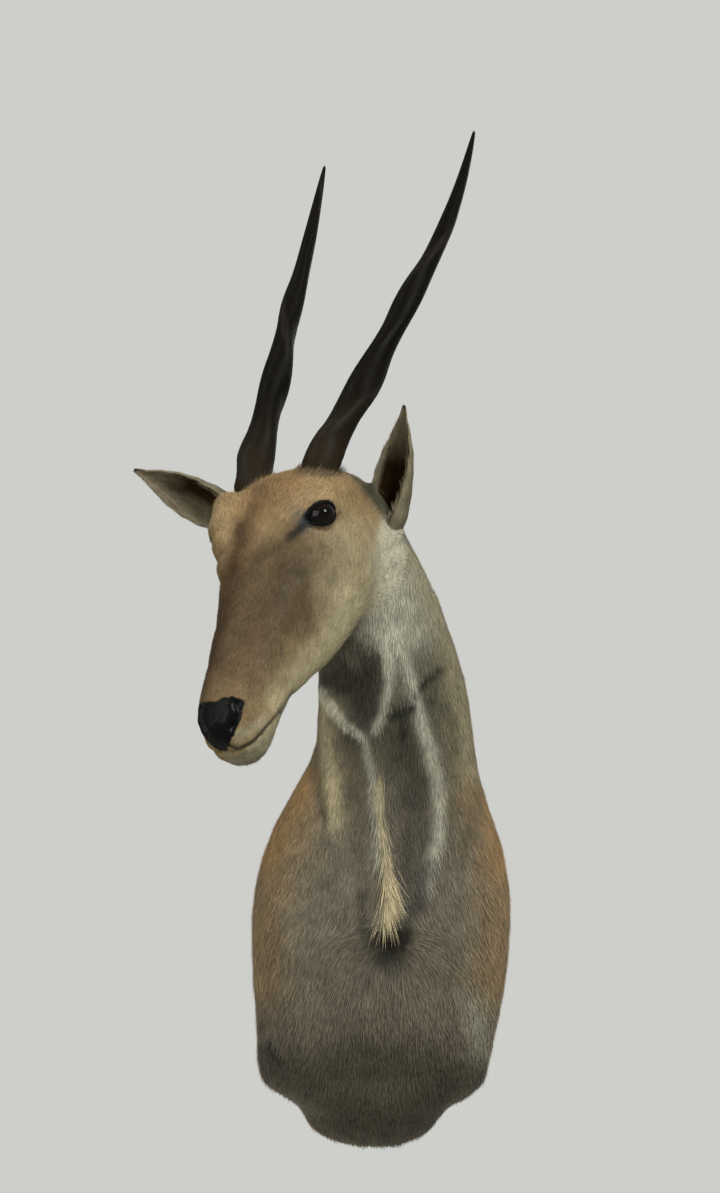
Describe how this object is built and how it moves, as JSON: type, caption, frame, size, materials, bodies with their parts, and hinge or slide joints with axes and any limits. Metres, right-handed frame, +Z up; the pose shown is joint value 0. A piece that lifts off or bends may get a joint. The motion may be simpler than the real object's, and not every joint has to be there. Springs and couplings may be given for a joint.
{
  "type": "taxidermy shoulder mount",
  "caption": "Eland head, neck and shoulders mounted to hang on a wall, head bent down and turned to the side, with tall loosely spiralled horns.",
  "frame": {"origin": "on the wall, in the middle of the backboard's back face", "axes": "+Y into the wall, +Z up; the animal looks out towards -Y with its head turned to -X"},
  "size_m": [0.5653, 0.6682, 1.5689],
  "materials": {
    "hide": "short tan to grey-brown hair",
    "horn": "near-black horn, finely ridged",
    "eye_glass": "glossy dark glass",
    "board": "raw plywood",
    "steel": "zinc plated"
  },
  "bodies": {
    "root": {"cape": "hide", "horn_right": "horn", "horn_left": "horn", "eye_right": "eye_glass", "eye_left": "eye_glass", "backboard": "board", "hanger_plate": "steel", "hanger_screw_upper": "steel", "hanger_screw_lower": "steel"}
  },
  "joints": []
}
